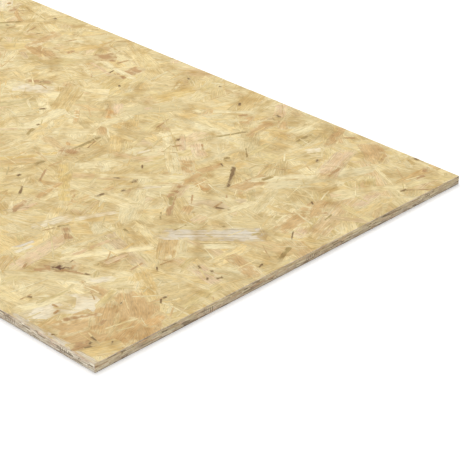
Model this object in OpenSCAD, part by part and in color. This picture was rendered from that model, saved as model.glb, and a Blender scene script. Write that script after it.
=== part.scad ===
// Oriented strand board panel: one pressed sheet of wood strands, sawn square on all four sides.
// The origin is at the middle of the underside. The length runs along X, the width along Y and the
// thickness up Z, as the panel lies flat on a floor.

/* [Panel] */
// Length of the panel
panel_length = 1220; // [300:10:2500]
// Width of the panel
panel_width = 610; // [150:5:1250]
// Thickness of the pressed panel
panel_thickness = 12; // [6:1:30]

/* [Edges] */
// Width of the arris, the small bevel that trimming and handling leave along every edge
edge_arris = 0.4; // [0.2:0.1:2]

/* [Hidden] */

// Straw colour of the pressed softwood strands
strand_colour = "#DFC794";

// Corners of a rectangle centred on the origin, with each corner cut at 45 degrees
function arrised_rectangle(width, height, arris) =
    let (x = width / 2, y = height / 2)
    [
        [x - arris, -y], [x, arris - y],
        [x, y - arris], [x - arris, y],
        [arris - x, y], [-x, y - arris],
        [-x, arris - y], [arris - x, -y],
    ];

// Plan of the panel, run up through its thickness
module plan_block() {
    linear_extrude(panel_thickness)
        polygon(arrised_rectangle(panel_length, panel_width, edge_arris));
}

// Section across the width, run along the length
module lengthwise_block() {
    translate([0, 0, panel_thickness / 2])
        rotate([90, 0, 90])
            linear_extrude(panel_length, center = true)
                polygon(arrised_rectangle(panel_width, panel_thickness, edge_arris));
}

// Section along the length, run across the width
module crosswise_block() {
    translate([0, 0, panel_thickness / 2])
        rotate([90, 0, 0])
            linear_extrude(panel_width, center = true)
                polygon(arrised_rectangle(panel_length, panel_thickness, edge_arris));
}

// The panel is what the plan and the two sections share, so all twelve edges carry the arris
module osb_panel() {
    color(strand_colour)
        intersection() {
            plan_block();
            lengthwise_block();
            crosswise_block();
        }
}

osb_panel();
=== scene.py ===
"""Oriented strand board panel: strands on both faces, four sawn edges, and a plain studio round them.

Sizes are in metres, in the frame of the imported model: length along X, width along Y, thickness up Z.
"""

import math
from collections import defaultdict, deque
from typing import NamedTuple

import bmesh
import bpy
import numpy as np
from bpy.props import FloatProperty, FloatVectorProperty, IntProperty, PointerProperty
from mathutils import Matrix, Vector
from mathutils.geometry import delaunay_2d_cdt


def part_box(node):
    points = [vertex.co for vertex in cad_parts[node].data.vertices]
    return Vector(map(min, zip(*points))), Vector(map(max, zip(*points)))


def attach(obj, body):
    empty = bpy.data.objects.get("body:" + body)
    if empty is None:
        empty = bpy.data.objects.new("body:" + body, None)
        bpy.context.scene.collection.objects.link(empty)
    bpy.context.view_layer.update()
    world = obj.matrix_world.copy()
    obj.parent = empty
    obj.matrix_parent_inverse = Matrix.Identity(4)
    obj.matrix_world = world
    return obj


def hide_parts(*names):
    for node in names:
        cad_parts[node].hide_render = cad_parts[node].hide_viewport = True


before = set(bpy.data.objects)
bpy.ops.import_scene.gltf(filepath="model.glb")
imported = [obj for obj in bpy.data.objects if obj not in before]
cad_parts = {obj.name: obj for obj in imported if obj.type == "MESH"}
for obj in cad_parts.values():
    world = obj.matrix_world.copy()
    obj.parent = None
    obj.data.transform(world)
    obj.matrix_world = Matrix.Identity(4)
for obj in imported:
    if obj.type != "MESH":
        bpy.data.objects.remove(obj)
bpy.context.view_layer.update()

bl_info = {
    "name": "Oriented strand board panel",
    "version": (1, 0, 0),
    "blender": (4, 5, 0),
    "location": "3D View > Sidebar > Strand board",
    "description": "Lays the strands of a pressed board, saws its edges and sets it in a studio",
    "category": "Object",
}

MM = 0.001
NODE = "osb_panel"
LOW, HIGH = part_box(NODE)
LENGTH, WIDTH, THICKNESS = HIGH - LOW

# Points of the outlines that lie nearer than this are one point, and a smaller bend than this is none
WELD = 0.001 * MM
STRAIGHT = math.cos(math.radians(0.5))

# An outline that is marked on more than this share of its own area has leaked
LEAK_SHARE = 1.02

# Blender's own numbers: holes with any number of sides, and the triangles that a triangulation gives back
ANY_SIDES = 0
INSIDE, WHOLE_HULL = 1, 0

# Spacing of the points along the sides of a strand
STATION = 32 * MM

# Share of straw in the colour of every scattered strand, because glue and press even the colours out
STRAW_SHARE = 0.35

# Chips: their width as a share of their length, and their clearance from other strands as a share of a strand
CHIP_WIDTH_SHARE = 0.6
CHIP_CLEAR_SHARE = 0.5

# Sawn edges: layers of strands as a share of those that fit side by side, relief as a share of the skin, and
# the first seed, with which all the outlines cross cleanly
LAYER_SHARE = 1.3
EDGE_RELIEF_SHARE = 0.45
EDGE_SEED = 2

# Marks of the saw's teeth, in millimetres: width, pitch, and least and greatest spacing of their rows
TOOTH_WIDTH = 0.9
TOOTH_PITCH = 3.2
ROW_SPACING = (90, 260)

# Height of the ground under the strands, as a share of the relief, and the most of a strand's half width
# that melts into those beside it
GROUND_SHARE = 0.95
MELT_SHARE = 0.8

# Bake map: height of the plan, and where the strip of hidden faces starts, as shares of the map
PLAN_SHARE = 0.97
HIDDEN_FROM = 0.98

# Blender's noise seldom leaves this range
NOISE_RANGE = (0.3, 0.7)

# Softboxes: where they hang and how wide they are, in metres
KEY_PLACE, KEY_WIDTH = (-0.9, 0.8, 2.8), 2.4
FILL_PLACE, FILL_WIDTH = (1.7, -2.5, 1.0), 1.6

# Floor: half its size in metres, its paper, and the glow that lifts it to white in the camera alone
FLOOR_HALF = 8
PAPER = "#F3F3F3"
PAPER_GLOW = 0.2

# Width of the camera's sensor in millimetres
SENSOR = 36


def linear(hex_colour):
    """Linear colour of an sRGB hex value."""
    shares = [int(hex_colour[i : i + 2], 16) / 255 for i in (1, 3, 5)]
    return [s / 12.92 if s <= 0.04045 else ((s + 0.055) / 1.055) ** 2.4 for s in shares]


def size(name, description, mm):
    """A length that a user may change, given in millimetres."""
    return FloatProperty(name=name, description=description, default=mm * MM, min=0, unit="LENGTH")


def angle(name, description, degrees):
    """An angle that a user may change, given in degrees."""
    return FloatProperty(name=name, description=description, default=math.radians(degrees), subtype="ANGLE")


def count(name, description, number):
    """A number of pieces that a user may change."""
    return IntProperty(name=name, description=description, default=number, min=0)


def tone(name, description, hex_colour):
    """A colour that a user may change, given as an sRGB hex value."""
    return FloatVectorProperty(
        name=name, description=description, default=linear(hex_colour), min=0, max=1, subtype="COLOR"
    )


class StrandSizes(bpy.types.PropertyGroup):
    """Sizes of the strands and of the relief that they leave."""

    shortest: size("Shortest strand", "Least length of a strand along its grain", 45)
    usual: size("Usual strand", "Most common length of a strand", 95)
    longest: size("Longest strand", "Greatest length of a strand", 140)
    middling: size("Middling width", "Width that half of the strands exceed", 17)
    narrowest: size("Narrowest strand", "Least width of a strand", 5)
    widest: size("Widest strand", "Greatest width of a strand", 50)
    splinter: size("Splinter", "Usual length of a splinter on a face", 22)
    splinter_width: size("Splinter width", "Usual width of a splinter", 2)
    chip: size("Chip", "Usual length of a dark chip of bark or knot", 6)
    relief: size("Relief", "Depth from the highest strand to the bottom of a gap between strands", 0.5)
    arris: size("Arris", "Small bevel along every edge of the panel", 0.4)
    melt: size("Melt", "Width over which the press blends a strand into those beside it", 10)
    edge_skin: size("Edge skin", "Depth of the sawn edge's own relief", 0.8)
    flake: size("Flake thickness", "Thickness of a strand seen on a sawn edge", 1.3)
    flake_length: size("Flake length", "Usual length of a strand seen on a sawn edge", 8)
    strands: count("Strands", "Strands laid on each face", 1500)
    splinters: count("Splinters", "Splinters on each face", 1000)
    chips: count("Chips", "Dark chips on each face", 170)


class StrandTones(bpy.types.PropertyGroup):
    """Colours of the wood."""

    straw: tone("Straw", "Most strands of the pressed faces", "#E6D4A1")
    pale: tone("Pale", "Sapwood strands", "#EDDFB2")
    honey: tone("Honey", "Warmer strands", "#E2C88C")
    golden: tone("Golden", "Resin-rich strands", "#E2CA8A")
    amber: tone("Amber", "Strands stained by resin", "#D8B176")
    tan: tone("Tan", "Strands near the heart of the log", "#D3B37E")
    rosy: tone("Rosy", "Strands with a pink cast", "#E0C69F")
    olive: tone("Olive", "Greenish strands", "#DBC890")
    moss: tone("Moss", "Dark greenish strips from under the bark", "#AE9860")
    # Brown also paints a shadow along the end of a tan strand near the near corner
    brown_and_shadow: tone("Brown", "Heartwood strands", "#BE9A6A")
    white: tone("White", "Palest sapwood strands", "#ECE0C2")
    # Ash also paints one grey shadow beside a white strand on the upper face
    ash_and_shadow: tone("Ash", "Greyed sapwood strands", "#E2DACA")
    bark: tone("Bark", "Dark strips and chips of bark", "#8A7045")
    knot: tone("Knot", "Heart of a knot", "#6B4520")
    sawn: tone("Sawn", "Strands cut across by the saw", "#D6C8B6")
    sawn_pale: tone("Sawn pale", "Sapwood strands cut across by the saw", "#E4D9C8")
    sawn_rosy: tone("Sawn rosy", "Pink strands cut across by the saw", "#D6BDAA")
    sawn_dark: tone("Sawn dark", "Dark strands cut across by the saw", "#A39280")
    # A dark tone: the painted shade of hollows torn by the saw, the colour of the saw's tooth marks, and a
    # painted shadow on the lower face's rim next to the floor
    torn_and_shade: tone("Torn", "Hollows torn by the saw, and the rim next to the floor", "#857664")


class StudioSettings(bpy.types.PropertyGroup):
    """Where the camera stands and how bright the lamps are."""

    aim: FloatVectorProperty(
        name="Aim", description="Point on the floor that the camera looks at",
        default=(503 * MM, 13 * MM, 0), unit="LENGTH",
    )
    azimuth: angle("Azimuth", "Direction of the camera, 0 looking along the width", 44.733)
    elevation: angle("Elevation", "Height of the camera above the horizon", 29.065)
    distance: size("Distance", "From the aim to the camera", 2245.4)
    lens: FloatProperty(name="Lens", description="Focal length", default=143.68, unit="CAMERA")
    key: FloatProperty(name="Key", description="Power of the key softbox", default=55, unit="POWER")
    fill: FloatProperty(name="Fill", description="Power of the fill softbox", default=21, unit="POWER")
    sky: FloatProperty(name="Sky", description="Strength of the even light all round", default=0.64)


# Shares of the tones among the strands of a face, its splinters and chips, and the strands of a sawn edge
STRAND_SHARES = {
    "straw": 0.38, "pale": 0.2, "honey": 0.14, "olive": 0.1, "rosy": 0.07, "tan": 0.05, "golden": 0.02,
}
SPLINTER_SHARES = {
    "straw": 0.4, "pale": 0.18, "honey": 0.18, "olive": 0.14, "tan": 0.07, "brown_and_shadow": 0.03,
}
CHIP_SHARES = {"bark": 0.5, "moss": 0.35, "knot": 0.15}
# The darkest share of flakes paints the shade of hollows torn by the saw
SAWN_SHARES = {"sawn": 0.44, "sawn_pale": 0.26, "sawn_rosy": 0.15, "sawn_dark": 0.11, "torn_and_shade": 0.04}

# Colour of the sawn edges at the foot and at the top, with painted light and shade in it: the ends are
# painted darker and the sides lighter, for how the light falls on them. The tops of the ends are yellower,
# and each edge grows lighter from its foot to its top
END_SHADE_AND_CAST = np.array(((0.95, 0.97, 0.88), (1.04, 1.0, 0.72)))
SIDE_LIGHT_AND_CAST = np.array(((1.01, 1.09, 1.13), (1.28, 1.34, 1.3)))

# How far back from the near end the strands below are laid
SHOWN_REACH = 500 * MM

# Strands that stand out on the upper face, in millimetres and degrees: how far along the near end from
# the near corner, how far back from that end, length, width, and turn from the near end
SHOWN_STRANDS = {
    "tan": (
        (30, 44, 80, 51, -15), (70, 62, 60, 34, 40), (38, 78, 60, 39, -6), (64, 24, 60, 34, 20),
        (98, 38, 112, 55, 53), (40, 72, 62, 34, -15), (388, 68, 82, 30, 8), (408, 171, 58, 28, -6),
        (582, 118, 58, 39, 55), (580, 184, 62, 17, 24), (388, 262, 46, 21, 52), (367, 212, 30, 23, 70),
        (530, 272, 52, 18, 8), (258, 34, 58, 23, 76), (222, 336, 50, 10, 12), (432, 452, 36, 21, 40),
        (103, 110, 36, 20, 88), (420, 68, 46, 23, 22), (306, 177, 20, 17, 30), (538, 302, 26, 16, 20),
        (518, 356, 22, 14, 25), (380, 415, 26, 18, 60), (386, 472, 40, 9, 45), (560, 258, 26, 16, 40),
        (366, 232, 46, 12, 10), (404, 237, 36, 15, -13),
    ),
    "rosy": (
        (213, 50, 46, 23, 82), (362, 42, 26, 18, 20), (480, 40, 48, 17, 8), (527, 133, 82, 31, 20),
        (115, 225, 92, 26, 10), (333, 222, 34, 22, 30), (301, 150, 20, 19, 10), (430, 285, 44, 20, 55),
        (430, 314, 44, 11, 47), (440, 452, 30, 19, 45), (165, 150, 30, 8, -3), (176, 321, 28, 10, 8),
        (444, 364, 14, 12, 60), (470, 422, 10, 10, 0), (590, 290, 40, 22, 40), (165, 190, 58, 8, -5),
    ),
    "honey": (
        (475, 22, 60, 18, 0), (348, 494, 56, 28, 24), (150, 80, 70, 24, 60), (20, 20, 50, 30, -24),
    ),
    "golden": ((250, 338, 106, 20, 48),),
    "amber": (
        (105, 20, 32, 20, 10), (422, 447, 28, 11, 35), (324, 418, 15, 8, 45), (361, 209, 26, 10, 80),
    ),
    "olive": (
        (175, 20, 60, 22, 5), (100, 92, 40, 12, 20), (520, 70, 28, 18, 40), (487, 231, 36, 12, 4),
        (120, 268, 14, 10, 60), (60, 137, 44, 8, -6),
    ),
    "pale": (
        (403, 308, 111, 18, 54), (352, 442, 50, 18, -45), (416, 425, 50, 20, -4), (331, 279, 118, 14, -48),
        (322, 249, 94, 11, -44), (313, 343, 54, 20, -33), (476, 323, 74, 14, -72), (534, 343, 80, 12, -48),
        (352, 497, 64, 22, 3), (445, 157, 64, 14, -34), (479, 58, 70, 12, -23), (343, 140, 60, 16, -10),
        (38, 130, 64, 32, -23), (135, 62, 34, 3, -38), (188, 62, 72, 7, 97), (322, 148, 52, 24, 95),
        (578, 230, 62, 26, 3),
        (383, 290, 72, 12, 52), (484, 318, 52, 14, -78), (270, 88, 40, 16, -40), (312, 335, 26, 15, 60),
        (320, 492, 30, 10, -30), (228, 365, 30, 8, 70),
    ),
    "white": (
        (68, 106, 60, 46, -40), (120, 127, 30, 15, -30), (172, 270, 50, 21, -12),
        (312, 255, 36, 7, -36), (377, 331, 20, 8, -18), (106, 244, 24, 8, -5), (535, 177, 22, 14, -30),
        (220, 245, 50, 12, -25), (33, 117, 54, 32, -13),
    ),
    "ash_and_shadow": (
        # The second row, beside a white strand, is a painted grey shadow
        (286, 110, 120, 34, -45), (112, 252, 28, 7, -8), (3, 22, 52, 10, 88), (4, 66, 58, 11, 92),
        (3, 112, 60, 10, 89),
    ),
    "moss": (
        (312, 20, 36, 8, 22), (340, 402, 54, 7, 2), (274, 190, 18, 3, 45), (550, 212, 32, 6, 4),
        (438, 240, 12, 11, 50), (270, 151, 20, 4, -5), (312, 480, 24, 7, 25), (413, 43, 18, 3, 12),
        (322, 76, 10, 6, -30), (308, 116, 7, 6, 0), (262, 402, 16, 10, 10), (468, 235, 26, 3, 48),
        (299, 116, 62, 1, -46), (280, 105, 85, 1, -46), (287, 110, 95, 0.8, -45), (272, 94, 36, 1.2, -45),
        (435, 166, 16, 7, -10), (308, 208, 22, 8, 40), (490, 288, 40, 5, -24), (175, 254, 14, 4, -25),
    ),
    "brown_and_shadow": (
        (310, 400, 20, 16, 34), (166, 151, 30, 10, -3),
        # The row (52, 82, 42, 11, -28) is a painted shadow along the end of the tan strand under it
        (52, 82, 42, 11, -28), (62, 57, 14, 7, 25), (15, 37, 26, 18, -20),
        (165, 150, 36, 16, -3), (170, 120, 22, 4, 5), (301, 200, 50, 11, 40), (166, 237, 34, 14, 60),
        (172, 331, 38, 14, 10), (310, 400, 30, 32, 34), (242, 372, 34, 4, 35),
        (330, 222, 38, 12, 21), (440, 287, 18, 4, 50), (505, 118, 32, 8, 12), (543, 14, 40, 3, -42),
        (570, 33, 22, 7, -10),
        (594, 41, 14, 11, 35), (593, 170, 16, 4, -45), (418, 53, 9, 8, 0), (545, 316, 14, 7, -30),
        (104, 138, 7, 8, 0), (342, 160, 18, 4, 10), (40, 109, 9, 4, 10), (48, 120, 9, 4, 90),
        (157, 260, 16, 3, -20), (82, 213, 12, 4, 30), (366, 169, 9, 3, 45), (106, 183, 44, 27, -40),
        (112, 160, 34, 4, -65), (90, 192, 22, 8, -40),
    ),
    "bark": (
        (146, 47, 6, 5, 0), (137, 44, 10, 3, 45), (103, 72, 6, 3, 30), (17, 30, 9, 4, -20),
        (24, 34, 6, 4, 20), (32, 36, 14, 3.5, 80), (219, 34, 9, 5, -20), (208, 42, 6, 3, 40),
        (223, 50, 7, 6, 60), (220, 68, 8, 5, 70), (350, 43, 20, 2.5, 38), (405, 200, 58, 7, 36),
        (339, 149, 18, 4.5, -65), (119, 147, 8, 4, -60), (515, 155, 9, 4, 35), (259, 281, 15, 7, -15),
        (314, 278, 9, 8, 40), (286, 270, 6, 5, 0), (303, 301, 9, 3, -50), (198, 361, 20, 4, 42),
        (575, 281, 9, 6, 80), (509, 279, 9, 4, -40), (432, 325, 7, 6, 30), (566, 344, 9, 5, 40),
        (421, 232, 9, 3, 60), (426, 81, 9, 3, 55), (183, 99, 10, 2.5, 50), (607, 68, 9, 6, 90),
        (40, 155, 7, 4, -60), (8, 75, 6, 4, -50), (42, 19, 5, 3, 30), (308, 168, 5, 4, 0),
        (333, 489, 5, 4, 0), (222, 394, 6, 5, 0), (347, 301, 10, 3, 45), (272, 20, 10, 3, 20),
        (530, 24, 10, 4, -10), (118, 180, 22, 3, 15),
    ),
    "knot": ((109, 182, 22, 15, -38), (108, 183, 15, 12, 20)),
}


class Strand(NamedTuple):
    """One strand where it lies, in the plane of its face."""

    middle: tuple
    turn: float
    length: float
    width: float
    tone: tuple
    streak: float
    outline: np.ndarray
    rise: float = 0.0


class Side(NamedTuple):
    """One side of the panel: its own plane, with its half sizes and the way that it faces."""

    name: str
    middle: Vector
    along: Vector
    normal: Vector
    half: tuple
    rim: tuple

    def matrix(self):
        """From the side's own plane to the panel."""
        columns = self.along, self.normal.cross(self.along), self.normal, self.middle
        return Matrix([list(row) for row in zip(*columns)]).to_4x4()


def strand_shape(rng, length, width):
    """Outline of a strand about its own middle, with its grain along the first axis.

    The sides split along the grain, so they wander, taper and bow, and the ends are knife cuts that tear.
    """
    stations = np.linspace(-0.5, 0.5, 2 + round(length / STATION))
    taper = rng.uniform(-0.35, 0.35)
    bow = np.clip(rng.normal(0, 0.02) * length, -width / 3, width / 3)

    def side(facing):
        along = np.clip(stations + rng.uniform(-0.3, 0.3, len(stations)) / len(stations), -0.5, 0.5)
        across = (1 + taper * along) * rng.uniform(0.72, 1, len(stations))
        return np.stack((along * length, facing * across * width / 2), 1)[::-facing]

    def end(facing):
        fingers = rng.integers(1, 4)
        across = np.sort(rng.uniform(-0.25, 0.25, fingers))[::facing] * width
        along = facing * (length / 2 + rng.uniform(0.02, 0.6, fingers) * min(width, length / 4))
        return np.stack((along, across), 1)

    outline = np.concatenate((side(-1), end(1), side(1), end(-1)))
    outline[:, 1] += bow * (4 * (outline[:, 0] / length) ** 2 - 1 / 3)
    return outline


def new_strand(rng, middle, turn, length, width, colour, streak):
    """A strand turned and moved to where it lies."""
    c, s = math.cos(turn), math.sin(turn)
    outline = strand_shape(rng, length, width) @ np.array(((c, s), (-s, c))) + middle
    return Strand(tuple(middle), turn, length, width, tuple(colour), streak, outline)


def pick(rng, tones, shares):
    """A tone picked by its share."""
    names, weights = list(shares), np.array(list(shares.values()))
    return np.array(getattr(tones, rng.choice(names, p=weights / weights.sum())))


def scattered_strands(rng, half, sizes, tones):
    """Whole strands, scattered over a face."""
    strands = []
    for _ in range(sizes.strands):
        length = rng.triangular(sizes.shortest, sizes.usual, sizes.longest)
        width = np.clip(sizes.middling * rng.lognormal(0, 0.5), sizes.narrowest, sizes.widest)
        middle = rng.uniform(-1, 1, 2) * (np.array(half) + 0.3 * length)
        own = pick(rng, tones, STRAND_SHARES)
        colour = (1 - STRAW_SHARE) * own + STRAW_SHARE * np.array(tones.straw)
        colour *= rng.uniform(0.88, 1.08)
        turn, streak = rng.uniform(-math.pi / 2, math.pi / 2), rng.uniform(0.15, 1)
        strands.append(new_strand(rng, middle, turn, length, width, colour, streak))
    return strands


def scattered_bits(rng, half, number, length, width, tones, shares):
    """Splinters or chips of about one size, scattered over a face."""
    bits = []
    for _ in range(number):
        middle = rng.uniform(-1, 1, 2) * np.array(half)
        colour = pick(rng, tones, shares) * rng.uniform(0.9, 1.05)
        turn, streak = rng.uniform(-math.pi / 2, math.pi / 2), rng.uniform(0, 0.6)
        stretch, spread = rng.lognormal(0, 0.4, 2)
        bits.append(new_strand(rng, middle, turn, stretch * length, spread * width, colour, streak))
    return bits


def shown_strands(rng, half, tones):
    """The strands that stand out, laid from the near corner of the upper face."""
    strands = []
    for name, rows in SHOWN_STRANDS.items():
        for along, back, length, width, turn in rows:
            middle = (half[0] - back * MM, along * MM - half[1])
            strands.append(
                new_strand(
                    rng, middle, math.radians(90 + turn), length * MM, width * MM, getattr(tones, name),
                    1.0 if name == "ash_and_shadow" else rng.uniform(0.2, 0.7),
                )
            )
    return strands


def strewn_strands(rng, half, tones, reach):
    """Strands of the common kinds, strewn over a face from its far end to a reach from its near end."""
    kinds = [(n, row) for n, rows in SHOWN_STRANDS.items() for row in rows if n not in ("ash_and_shadow", "knot")]
    strands = []
    for _ in range(round(len(kinds) * (2 * half[0] - reach) / SHOWN_REACH)):
        name, (_, _, length, width, _) = kinds[rng.integers(len(kinds))]
        middle = (rng.uniform(-half[0], half[0] - reach), rng.uniform(-1, 1) * half[1])
        turn, streak = rng.uniform(-math.pi / 2, math.pi / 2), rng.uniform(0.2, 0.7)
        strands.append(
            new_strand(rng, middle, turn, length * MM, width * MM, getattr(tones, name), streak)
        )
    return strands


def away_from(bits, strands, clearance):
    """The bits that keep clear of these strands."""
    if not strands:
        return bits
    middles = np.array([s.middle for s in strands])
    return [b for b in bits if np.hypot(*(middles - b.middle).T).min() > clearance]


def piled(strands, relief):
    """The strands with their heights, from the lowest at the bottom of the relief to the highest."""
    return [s._replace(rise=-relief * (1 - (i + 1) / len(strands))) for i, s in enumerate(strands)]


def flake_sections(rng, half, sizes, tones, cast):
    """The strands of the panel as a saw cuts across them, in wavy layers.

    Real ones are half as thick, which is too fine to show, so they are drawn coarser.
    """
    strands, layers = [], round(2 * half[1] / sizes.flake * LAYER_SHARE)
    for layer in range(layers):
        at = -half[0]
        while at < half[0]:
            length = rng.triangular(0.35, 1, 3.2) * sizes.flake_length
            width = sizes.flake * rng.uniform(0.8, 1.8)
            height = (layer + rng.uniform(0, 1)) / layers
            middle = (at + length / 2, half[1] * (2 * height - 1))
            # The cast paints the edge darker or lighter for how the light falls on it, and lighter towards
            # its top
            shade = (cast[0] + (cast[1] - cast[0]) * height) * rng.uniform(0.9, 1.05)
            colour = pick(rng, tones, SAWN_SHARES) * shade
            turn, streak = rng.normal(0, math.radians(2.5)), rng.uniform(0.2, 0.9)
            strands.append(new_strand(rng, middle, turn, length, width, colour, streak))
            at += length * rng.uniform(0.6, 1)
    return [strands[i] for i in rng.permutation(len(strands))]


def saw_marks(rng, half, tones):
    """Short rows of marks that the saw's teeth leave across an edge."""
    marks, at = [], -half[0]
    while at < half[0]:
        at += rng.uniform(*ROW_SPACING) * MM
        for i in range(rng.integers(4, 8)):
            middle = (at + i * TOOTH_PITCH * MM, rng.uniform(-0.3, 0.3) * half[1])
            length, turn = rng.uniform(0.6, 1.2) * half[1], rng.normal(math.radians(80), math.radians(5))
            marks.append(new_strand(rng, middle, turn, length, TOOTH_WIDTH * MM, tones.torn_and_shade, 0.3))
    return marks


def rectangle(half, inset=0):
    """Corners of a rectangle about the middle, drawn in by an inset."""
    x, y = half[0] - inset, half[1] - inset
    return np.array(((-x, -y), (x, -y), (x, y), (-x, y)))


def area(outlines):
    """Areas inside outlines that have the same number of corners."""
    x, y = np.moveaxis(np.array(outlines), -1, 0)
    return np.sum(x * np.roll(y, -1, -1) - y * np.roll(x, -1, -1), -1) / 2


def leaking(outlines, places, cells, covers):
    """The outlines that are marked on more than their own area, because two of their corners were welded."""
    sizes = area(np.array(places)[np.array(cells)])
    marks = np.concatenate(covers).astype(int)
    marked = np.bincount(marks, np.repeat(sizes, [len(cover) for cover in covers]), len(outlines))
    own = np.array([area(outline) for outline in outlines])
    return set(np.flatnonzero(marked > LEAK_SHARE * own + MM**2).tolist())


def top_strands(half, arris, strands):
    """Crosses all the outlines and finds which strand is on top everywhere.

    Returns the crossings, and each line where that strand or the arris changes, with what is on its left.
    """
    outlines = [rectangle(half), rectangle(half, arris)] + [s.outline for s in strands]
    border, flat, first = 0, 1, 2
    points = [Vector(p) for outline in outlines for p in outline]
    ends = np.cumsum([0] + [len(outline) for outline in outlines])
    rings = [list(range(a, b)) for a, b in zip(ends, ends[1:])]
    places, _, cells, _, _, covers = delaunay_2d_cdt(points, [], rings, INSIDE, WELD, True)
    leaked = leaking(outlines, places, cells, covers)
    left = {}
    for cell, cover in zip(cells, covers):
        if border in cover:
            top = max(i for i in cover if i not in leaked)
            label = (top - first if top >= first else len(strands), flat in cover)
            for a, b in zip(cell, cell[1:] + cell[:1]):
                left[a, b] = label
    return places, {(a, b): label for (a, b), label in left.items() if left.get((b, a)) != label}


def straight_runs(places, lines):
    """The lines with the points left out that lie within a straight run."""
    near = defaultdict(set)
    for a, b in lines:
        near[a].add(b)
        near[b].add(a)

    def bends(at):
        if len(near[at]) != 2:
            return True
        one, other = ((places[n] - places[at]).normalized() for n in near[at])
        return one.dot(other) > -STRAIGHT

    bend = {at: bends(at) for at in near}
    runs = {}
    for (a, b), label in lines.items():
        if bend[a]:
            before, at = a, b
            while not bend[at]:
                before, at = at, next(n for n in near[at] if n != before)
            runs[a, at] = label
    return runs


def fill_with_cells(bm, half, arris, strands):
    """Fills bm with what shows of the strands, flat, each triangle marked with its strand."""
    places, lines = top_strands(half, arris, strands)
    runs = straight_runs(places, lines)
    kept = sorted({at for run in runs for at in run})
    number = {at: i for i, at in enumerate(kept)}
    pairs = sorted({tuple(sorted((number[a], number[b]))) for a, b in runs if a != b})
    spots, edges, cells, _, sources, _ = delaunay_2d_cdt(
        [places[at] for at in kept], pairs, [], WHOLE_HULL, WELD, True
    )
    labels = {}
    for (p, q), found in zip(edges, sources):
        if found:
            a, b = (kept[i] for i in pairs[found[0]])
            if (spots[q] - spots[p]).dot(places[b] - places[a]) < 0:
                a, b = b, a
            labels[p, q], labels[q, p] = runs.get((a, b)), runs.get((b, a))
    cell_of = {ab: i for i, cell in enumerate(cells) for ab in zip(cell, cell[1:] + cell[:1])}
    found = {}
    spread = deque((cell_of[ab], label) for ab, label in labels.items() if label and ab in cell_of)
    while spread:
        i, label = spread.popleft()
        if i not in found:
            found[i] = label
            cell = cells[i]
            for a, b in zip(cell, cell[1:] + cell[:1]):
                if (a, b) not in labels and (b, a) in cell_of:
                    spread.append((cell_of[b, a], label))
    reach = np.array(half)
    plan = [bm.verts.new((*np.clip(spot, -reach, reach), 0)) for spot in spots]
    mark = bm.faces.layers.int.new("strand")
    for i, cell in enumerate(cells):
        face = bm.faces.new([plan[k] for k in cell])
        face[mark], flat = found.get(i, (len(strands), True))
        face.material_index = not flat
    bmesh.ops.delete(bm, geom=[v for v in bm.verts if not v.link_faces], context="VERTS")
    bmesh.ops.remove_doubles(bm, verts=bm.verts, dist=5 * WELD)


def raise_strands(bm, half, arris, strands, depth):
    """Lifts each patch to its strand's height and closes the steps between them with walls."""
    fill_with_cells(bm, half, arris, strands)
    mark = bm.faces.layers.int["strand"]

    def to_border(place):
        return min(half[0] - abs(place.x), half[1] - abs(place.y))

    column = bm.verts.layers.int.new("column")
    for i, vert in enumerate(bm.verts):
        vert[column] = i
    steps = [e for e in bm.edges if len({face[mark] for face in e.link_faces}) > 1]
    bmesh.ops.split_edges(bm, edges=steps)
    rises = [s.rise for s in strands] + [-GROUND_SHARE * depth]
    for face in bm.faces:
        for vert in face.verts:
            vert.co.z = rises[face[mark]] - max(0, arris - to_border(vert.co))
    columns = defaultdict(list)
    for vert in bm.verts:
        columns[vert[column]].append(vert)
    sides = defaultdict(list)
    for edge in bm.edges:
        if edge.is_boundary:
            loop = edge.link_loops[0]
            sides[frozenset(v[column] for v in edge.verts)].append(loop)
    feet = {}

    def foot(vert):
        if vert[column] not in feet:
            feet[vert[column]] = bm.verts.new((vert.co.x, vert.co.y, -depth - arris))
        return feet[vert[column]]

    def between(start, end, number):
        low, high = sorted((start.co.z, end.co.z))
        found = [v for v in columns[number] if low < v.co.z < high]
        return sorted(found, key=lambda v: v.co.z, reverse=start.co.z > end.co.z)

    for loops in list(sides.values()):
        start, end = loops[0].vert, loops[0].link_loop_next.vert
        if len(loops) == 2:
            under_end, under_start = loops[1].vert, loops[1].link_loop_next.vert
        else:
            under_start, under_end = foot(start), foot(end)
        ring = [end, start] + between(start, under_start, start[column])
        ring += [under_start, under_end] + between(under_end, end, end[column])
        wall = bm.faces.new(ring)
        wall[mark] = max((loop.face[mark] for loop in loops), key=lambda s: rises[s])
        wall.material_index = len(loops) == 1 or loops[0].face.material_index


def close_below(bm, half, steps, ground):
    """Closes the open border of bm by drawing it in and down, step by step, and filling the last ring."""
    mark = bm.faces.layers.int["strand"]
    known = set(bm.faces)
    ring = [e for e in bm.edges if e.is_boundary]
    for inset, depth in steps:
        made = bmesh.ops.extrude_edge_only(bm, edges=ring)["geom"]
        ring = [g for g in made if isinstance(g, bmesh.types.BMEdge) and g.is_boundary]
        for vert in {v for e in ring for v in e.verts}:
            reach = max(abs(vert.co.x) / half[0], abs(vert.co.y) / half[1])
            vert.co.x *= (half[0] - inset) / half[0] / reach
            vert.co.y *= (half[1] - inset) / half[1] / reach
            vert.co.z = -depth
    bmesh.ops.holes_fill(bm, edges=ring, sides=ANY_SIDES)
    for face in set(bm.faces) - known:
        face[mark] = ground


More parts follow.
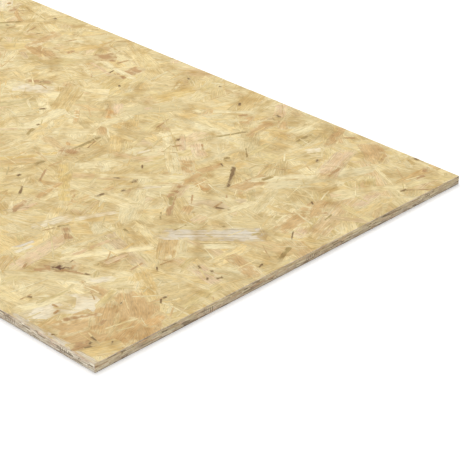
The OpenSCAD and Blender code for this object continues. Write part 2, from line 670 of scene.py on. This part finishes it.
def make_piece(side, strands, materials, arris, depth, steps):
    """Makes one side of the panel as a closed piece that stands for the CAD panel."""
    bm = bmesh.new()
    raise_strands(bm, side.half, arris, strands, depth)
    close_below(bm, side.half, steps, len(strands))
    mesh = bpy.data.meshes.new(side.name)
    bm.to_mesh(mesh)
    bm.free()
    dress(mesh, side, strands, depth + arris)
    mesh.transform(side.matrix())
    for material in materials:
        mesh.materials.append(material)
    # A piece of one material has no second slot for its outer walls
    slots = np.minimum(values_of(mesh.polygons, "material_index", np.int32), len(materials) - 1)
    mesh.polygons.foreach_set("material_index", slots)
    piece = bpy.data.objects.new(side.name, mesh)
    bpy.context.scene.collection.objects.link(piece)
    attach(piece, "root")
    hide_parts(NODE)
    return piece


def values_of(rows, name, kind, width=1):
    """One value of each face, corner or vertex of a mesh, as an array."""
    found = np.empty(len(rows) * width, kind)
    rows.foreach_get(name, found)
    return found.reshape(-1, width) if width > 1 else found


def bake_map(mesh, at, half, foot):
    """Plan of a side with its outer walls unfolded, and with the hidden faces put in a strip of their own.

    The hidden faces are those that lie at or below the foot of the outer walls.
    """
    half, depth = np.array(half), -at[:, 2]
    over = np.abs(at[:, :2]) > half - WELD
    spread = at[:, :2] + over * np.sign(at[:, :2]) * depth[:, None]
    spots = (spread / (half + foot) + 1) / 2 * (1, PLAN_SHARE)
    starts = values_of(mesh.polygons, "loop_start", np.int32)
    totals = values_of(mesh.polygons, "loop_total", np.int32)
    hidden = np.repeat(np.minimum.reduceat(depth, starts) > foot - WELD, totals)
    spots[hidden, 1] = HIDDEN_FROM + (1 - HIDDEN_FROM) * spots[hidden, 1]
    return np.clip(spots, 0, 1)


def dress(mesh, side, strands, foot):
    """Gives a side the colour and the grain of each strand, and the flat map that its bake uses."""
    rng = np.random.default_rng(len(strands))
    sizes, tones = bpy.context.scene.strand_sizes, bpy.context.scene.strand_tones
    rows = strands + [strands[0]._replace(tone=tuple(tones.straw))]
    owner = values_of(mesh.attributes["strand"].data, "value", np.int32)
    sawn = values_of(mesh.polygons, "material_index", np.int32) == 1
    corner = values_of(mesh.loops, "vertex_index", np.int32)
    at = values_of(mesh.vertices, "co", np.float32, 3)[corner]
    row = np.repeat(owner, values_of(mesh.polygons, "loop_total", np.int32))
    middle, turn = np.array([s.middle for s in rows]), np.array([s.turn for s in rows])
    extent = np.array([(s.length, s.width) for s in rows]) / 2
    away = at[:, :2] - middle[row]
    c, s = np.cos(turn)[row], np.sin(turn)[row]
    local = np.stack((away[:, 0] * c + away[:, 1] * s, away[:, 1] * c - away[:, 0] * s), 1)
    start = rng.uniform(0, 50, (len(rows), 2))
    maps = {
        "grain": local + start[row],
        "blank": local,
        "OFBake": bake_map(mesh, at, side.half, foot),
    }
    for name, spots in maps.items():
        layer = mesh.uv_layers.new(name=name)
        layer.uv.foreach_set("vector", spots.astype(np.float32).ravel())
    colours = np.array([(*s.tone, 1) for s in rows])[owner]
    lightness = colours[:, 1] / np.mean(colours[:, 1])
    # The outer walls take the side's rim colour; on the lower face that is a painted shadow along the rim
    # next to the floor
    colours[sawn, :3] = np.array(side.rim) * lightness[sawn, None]
    mesh.attributes.new("tone", "FLOAT_COLOR", "FACE").data.foreach_set("color", colours.ravel())
    streaks = np.array([s.streak for s in rows])[owner]
    mesh.attributes.new("streak", "FLOAT", "FACE").data.foreach_set("value", streaks)
    melt = np.minimum(sizes.melt, MELT_SHARE * extent[:, 1])
    reach = np.column_stack((extent, melt))[owner]
    mesh.attributes.new("reach", "FLOAT_VECTOR", "FACE").data.foreach_set("vector", reach.ravel())


def node(tree, kind, settings=(), inputs=()):
    """Adds a node, sets its properties, and sets or links its inputs by name or number."""
    made = tree.nodes.new(kind)
    for name, value in dict(settings).items():
        setattr(made, name, value)
    for name, value in dict(inputs).items():
        if isinstance(value, bpy.types.NodeSocket):
            tree.links.new(value, made.inputs[name])
        else:
            made.inputs[name].default_value = value
    return made


def strand_wood(name, ground, late, stain, blend, roughness, bump_depth):
    """Softwood strands: each has its own tone, darker late wood runs along its grain, and its rim is
    pressed into the strands beside it, so that it blends with them."""
    material = bpy.data.materials.new(name)
    material.use_nodes = True
    tree = material.node_tree
    tree.nodes.clear()
    place = node(tree, "ShaderNodeTexCoord").outputs["Object"]
    grain = node(tree, "ShaderNodeUVMap", {"uv_map": "grain"}).outputs["UV"]
    blank = node(tree, "ShaderNodeUVMap", {"uv_map": "blank"}).outputs["UV"]
    tone_of = node(tree, "ShaderNodeAttribute", {"attribute_name": "tone"}).outputs["Color"]
    streak_of = node(tree, "ShaderNodeAttribute", {"attribute_name": "streak"}).outputs["Fac"]
    reach = node(tree, "ShaderNodeAttribute", {"attribute_name": "reach"}).outputs["Vector"]
    multiply = {"data_type": "RGBA", "blend_type": "MULTIPLY"}

    def noise(vector, along, across, low, high, detail=3):
        """Noise of a size in millimetres, spread from low to high."""
        scale = (1 / (along * MM), 1 / (across * MM), 1 / (across * MM))
        spot = node(tree, "ShaderNodeMapping", (), {"Vector": vector, "Scale": scale}).outputs[0]
        cloud = node(tree, "ShaderNodeTexNoise", (), {"Vector": spot, "Scale": 1, "Detail": detail})
        ends = {"Value": cloud.outputs[0], 1: NOISE_RANGE[0], 2: NOISE_RANGE[1], 3: low, 4: high}
        return node(tree, "ShaderNodeMapRange", (), ends).outputs[0]

    # Growth rings are 1 to 3 mm apart. They wander as the grain does, and lie in broader bands of paler and
    # darker wood. Real fibres are far thinner than 0.1 mm, too fine to show, so fibres and the flecks of
    # resin among them are drawn about 1 mm wide. Clouds and stains run across many strands, as glue and
    # press do.
    sway = noise(grain, 35, 14, -1.3 * MM, 1.3 * MM)
    shift = node(tree, "ShaderNodeCombineXYZ", (), {"Y": sway}).outputs[0]
    grain = node(tree, "ShaderNodeVectorMath", {"operation": "ADD"}, {0: grain, 1: shift}).outputs[0]
    rings = noise(grain, 60, 2.2, 0, 1)
    bands = noise(grain, 120, 9, 0.9, 1.07)
    fibres = noise(grain, 11, 1.2, 0.82, 1.12)
    flecks = noise(grain, 7, 1.3, 0, 1, 1)
    clouds = noise(place, 55, 55, 0, 1)
    stains = noise(place, 26, 26, -0.6, 1)

    dark, light = ((*linear(c), 1) for c in ground)
    common = node(tree, "ShaderNodeMix", {"data_type": "RGBA"}, {0: clouds, 6: dark, 7: light}).outputs[2]
    size_of = node(tree, "ShaderNodeVectorMath", {"operation": "ABSOLUTE"}, {0: blank}).outputs[0]
    room = node(tree, "ShaderNodeVectorMath", {"operation": "SUBTRACT"}, {0: reach, 1: size_of}).outputs[0]
    room = node(tree, "ShaderNodeSeparateXYZ", (), {0: room}).outputs
    melt = node(tree, "ShaderNodeSeparateXYZ", (), {0: reach}).outputs["Z"]
    uneven = noise(place, 9, 9, -0.9, 0.9)
    wobble = node(tree, "ShaderNodeMath", {"operation": "MULTIPLY"}, {0: uneven, 1: melt}).outputs[0]
    nearest = node(tree, "ShaderNodeMath", {"operation": "MINIMUM"}, {0: room["X"], 1: room["Y"]}).outputs[0]
    inside = node(tree, "ShaderNodeMath", {"operation": "ADD"}, {0: nearest, 1: wobble}).outputs[0]
    rim = node(
        tree, "ShaderNodeMapRange", {"interpolation_type": "SMOOTHSTEP"},
        {"Value": inside, 1: 0.0, 2: melt, 3: blend, 4: 0.0},
    ).outputs[0]
    colour = node(tree, "ShaderNodeMix", {"data_type": "RGBA"}, {0: rim, 6: tone_of, 7: common}).outputs[2]
    amount = node(tree, "ShaderNodeMath", {"operation": "MULTIPLY"}, {0: rings, 1: streak_of}).outputs[0]
    colour = node(tree, "ShaderNodeMix", multiply, {0: amount, 6: colour, 7: (*linear(late), 1)}).outputs[2]
    spots = node(
        tree, "ShaderNodeMapRange", (), {"Value": flecks, 1: 0.72, 2: 0.95, 3: 1.0, 4: 0.8}
    ).outputs[0]
    colour = node(tree, "ShaderNodeMix", multiply, {0: stains, 6: colour, 7: (*linear(stain), 1)}).outputs[2]
    for layer in (bands, fibres, spots):
        colour = node(tree, "ShaderNodeMix", multiply, {0: 1.0, 6: colour, 7: layer}).outputs[2]
    bump = node(tree, "ShaderNodeBump", (), {"Strength": 0.5, "Distance": bump_depth, "Height": fibres})
    shader = node(
        tree, "ShaderNodeBsdfPrincipled", (),
        {
            "Base Color": colour, "Roughness": roughness, "Specular IOR Level": 0.3,
            "Normal": bump.outputs[0],
        },
    )
    node(tree, "ShaderNodeOutputMaterial", (), {"Surface": shader.outputs[0]})
    return material


def wood(name, make):
    """A material of this name, made once."""
    return bpy.data.materials.get(name) or make(name)


def pressed(name):
    """Hot-pressed faces: matt wood with a thin resin sheen, late wood only a little darker."""
    return strand_wood(name, ("#D3BD88", "#EFE1B6"), "#E5D5B1", "#E4D7BE", 0.8, 0.62, 0.2 * MM)


def sawn(name):
    """Sawn edges: the saw leaves torn fibre, so they are rougher and greyer than the faces."""
    return strand_wood(name, ("#C2B19C", "#DDCFBD"), "#CDB89A", "#F4F0EC", 0.5, 0.85, 0.3 * MM)


class STRANDBOARD_OT_lay_faces(bpy.types.Operator):
    """Lay the strands of the upper and the lower face"""

    bl_idname = "strandboard.lay_faces"
    bl_label = "Lay the faces"

    def execute(self, context):
        sizes, tones = context.scene.strand_sizes, context.scene.strand_tones
        half = (LENGTH / 2, WIDTH / 2)
        materials = [wood("hot_pressed_softwood_strands", pressed), wood("sawn_strand_edges", sawn)]
        along, up = Vector((1, 0, 0)), Vector((0, 0, 1))
        upper = Side("upper_face_strands", Vector((0, 0, HIGH.z)), along, up, half, tones.sawn)
        # The lower face's rim takes the dark torn tone as a painted shadow where the panel meets the floor
        lower = Side("lower_face_strands", Vector((0, 0, LOW.z)), along, -up, half, tones.torn_and_shade)
        lip = sizes.relief + sizes.arris
        steps = ((sizes.edge_skin, lip), (sizes.edge_skin, THICKNESS / 2))
        for seed, side in enumerate((upper, lower)):
            rng = np.random.default_rng(seed)
            strands = scattered_strands(rng, half, sizes, tones)
            bits = scattered_bits(
                rng, half, sizes.splinters, sizes.splinter, sizes.splinter_width, tones, SPLINTER_SHARES
            )
            chips = scattered_bits(
                rng, half, sizes.chips, sizes.chip, CHIP_WIDTH_SHARE * sizes.chip, tones, CHIP_SHARES
            )
            shown = shown_strands(rng, half, tones) if side is upper else []
            shown += strewn_strands(rng, half, tones, SHOWN_REACH if side is upper else 0)
            darkest = (tuple(tones.bark), tuple(tones.knot))
            dark = [s for s in shown if s.tone in darkest]
            light = [s for s in shown if s.tone not in darkest]
            top = sorted(light + bits, key=lambda s: -s.length * s.width)
            top += away_from(chips, shown, CHIP_CLEAR_SHARE * sizes.usual) + dark
            make_piece(side, piled(strands + top, sizes.relief), materials, sizes.arris, sizes.relief, steps)
        return {"FINISHED"}


class STRANDBOARD_OT_saw_edges(bpy.types.Operator):
    """Saw the four edges through the layered strands"""

    bl_idname = "strandboard.saw_edges"
    bl_label = "Saw the edges"

    def execute(self, context):
        sizes, tones = context.scene.strand_sizes, context.scene.strand_tones
        material = wood("sawn_strand_edges", sawn)
        high = THICKNESS / 2 - sizes.relief - sizes.arris
        for seed, facing in enumerate((1, -1)):
            ends = (WIDTH / 2, high)
            sides = (LENGTH / 2 - sizes.edge_skin, high)
            for axis, half in (("x", ends), ("y", sides)):
                normal = Vector((facing, 0, 0)) if axis == "x" else Vector((0, facing, 0))
                middle = normal * (LENGTH if axis == "x" else WIDTH) / 2 + Vector((0, 0, THICKNESS / 2))
                along = Vector((0, 0, 1)).cross(normal)
                name = f"sawn_{'end' if axis == 'x' else 'side'}_{'plus' if facing > 0 else 'minus'}_{axis}"
                side = Side(name, middle, along, normal, half, tones.sawn)
                rng = np.random.default_rng(EDGE_SEED + 10 * seed + (axis == "y"))
                # Ends take painted shade and sides painted light, for how the light falls on them
                cast = END_SHADE_AND_CAST if axis == "x" else SIDE_LIGHT_AND_CAST
                strands = flake_sections(rng, half, sizes, tones, cast) + saw_marks(rng, half, tones)
                strands = piled(strands, EDGE_RELIEF_SHARE * sizes.edge_skin)
                make_piece(side, strands, [material], 0, sizes.edge_skin, ())
        return {"FINISHED"}


class STRANDBOARD_OT_set_stage(bpy.types.Operator):
    """Set the floor, the even light, the softboxes and the camera"""

    bl_idname = "strandboard.set_stage"
    bl_label = "Set the stage"

    def execute(self, context):
        scene, studio = context.scene, context.scene.studio
        scene.view_settings.view_transform = "Standard"
        scene.collection.objects.link(self.floor())
        self.light_all_round(scene, studio)
        self.hang_softbox(scene, "key_softbox", KEY_PLACE, KEY_WIDTH, studio.key)
        self.hang_softbox(scene, "fill_softbox", FILL_PLACE, FILL_WIDTH, studio.fill)
        self.place_camera(scene, studio)
        return {"FINISHED"}

    def floor(self):
        """A white floor that the camera sees as white and that keeps the panel's shadow."""
        bm = bmesh.new()
        bmesh.ops.create_grid(bm, x_segments=1, y_segments=1, size=FLOOR_HALF)
        mesh = bpy.data.meshes.new("studio_floor")
        bm.to_mesh(mesh)
        bm.free()
        material = bpy.data.materials.new("white_studio_paper")
        material.use_nodes = True
        tree = material.node_tree
        tree.nodes.clear()
        path = node(tree, "ShaderNodeLightPath").outputs
        paper = node(tree, "ShaderNodeBsdfDiffuse", (), {"Color": (*linear(PAPER), 1)})
        seen = path["Is Camera Ray"]
        lift = node(tree, "ShaderNodeMath", {"operation": "MULTIPLY"}, {0: seen, 1: PAPER_GLOW}).outputs[0]
        glow = node(tree, "ShaderNodeEmission", (), {"Color": (*linear("#FFFFFF"), 1), "Strength": lift})
        both = node(tree, "ShaderNodeAddShader", (), {0: paper.outputs[0], 1: glow.outputs[0]})
        node(tree, "ShaderNodeOutputMaterial", (), {"Surface": both.outputs[0]})
        mesh.materials.append(material)
        floor = bpy.data.objects.new("studio_floor", mesh)
        return floor

    def light_all_round(self, scene, studio):
        """Even light from a white room, which the camera sees as plain white."""
        world = bpy.data.worlds.new("white_room")
        world.use_nodes = True
        tree = world.node_tree
        tree.nodes.clear()
        path = node(tree, "ShaderNodeLightPath").outputs
        seen = path["Is Camera Ray"]
        for ray in ("Is Glossy Ray", "Is Transmission Ray"):
            seen = node(tree, "ShaderNodeMath", {"operation": "MAXIMUM"}, {0: seen, 1: path[ray]}).outputs[0]
        strength = node(
            tree, "ShaderNodeMapRange", (), {"Value": seen, 3: studio.sky, 4: 1.0}
        ).outputs[0]
        white = (*linear("#FFFFFF"), 1)
        room = node(tree, "ShaderNodeBackground", (), {"Color": white, "Strength": strength})
        node(tree, "ShaderNodeOutputWorld", (), {"Surface": room.outputs[0]})
        scene.world = world

    def hang_softbox(self, scene, name, place, width, power):
        """A large square softbox that faces the panel."""
        lamp = bpy.data.lights.new(name, "AREA")
        lamp.shape = "SQUARE"
        lamp.size = width
        lamp.energy = power
        softbox = bpy.data.objects.new(name, lamp)
        softbox.location = place
        softbox.rotation_euler = (-softbox.location).to_track_quat("-Z", "Y").to_euler()
        scene.collection.objects.link(softbox)

    def place_camera(self, scene, studio):
        """The camera, at the height and turn from which the panel is looked down on."""
        a, e = studio.azimuth, studio.elevation
        back = Vector((math.sin(a) * math.cos(e), -math.cos(a) * math.cos(e), math.sin(e)))
        lens = bpy.data.cameras.new("camera")
        lens.lens = studio.lens
        lens.sensor_width = SENSOR
        camera = bpy.data.objects.new("camera", lens)
        camera.location = Vector(studio.aim) + studio.distance * back
        camera.rotation_euler = back.to_track_quat("Z", "Y").to_euler()
        scene.collection.objects.link(camera)
        scene.camera = camera


class STRANDBOARD_PT_sidebar(bpy.types.Panel):
    """Lists the steps that make the panel."""

    bl_label = "Strand board"
    bl_space_type = "VIEW_3D"
    bl_region_type = "UI"
    bl_category = "Strand board"

    def draw(self, context):
        for step in STEPS:
            self.layout.operator(step.bl_idname)
        for group in GROUPS:
            for name in group.__annotations__:
                self.layout.prop(getattr(context.scene, GROUPS[group]), name)


GROUPS = {StrandSizes: "strand_sizes", StrandTones: "strand_tones", StudioSettings: "studio"}
STEPS = (STRANDBOARD_OT_lay_faces, STRANDBOARD_OT_saw_edges, STRANDBOARD_OT_set_stage)
CLASSES = (*GROUPS, *STEPS, STRANDBOARD_PT_sidebar)


def register():
    """Adds the classes and the scene's settings."""
    for cls in CLASSES:
        bpy.utils.register_class(cls)
    for group, name in GROUPS.items():
        setattr(bpy.types.Scene, name, PointerProperty(type=group))


def unregister():
    """Removes the scene's settings and the classes."""
    for name in GROUPS.values():
        delattr(bpy.types.Scene, name)
    for cls in reversed(CLASSES):
        bpy.utils.unregister_class(cls)


def main():
    """Makes the panel and its stage."""
    register()
    bpy.ops.strandboard.lay_faces()
    bpy.ops.strandboard.saw_edges()
    bpy.ops.strandboard.set_stage()


if __name__ == "__main__":
    main()
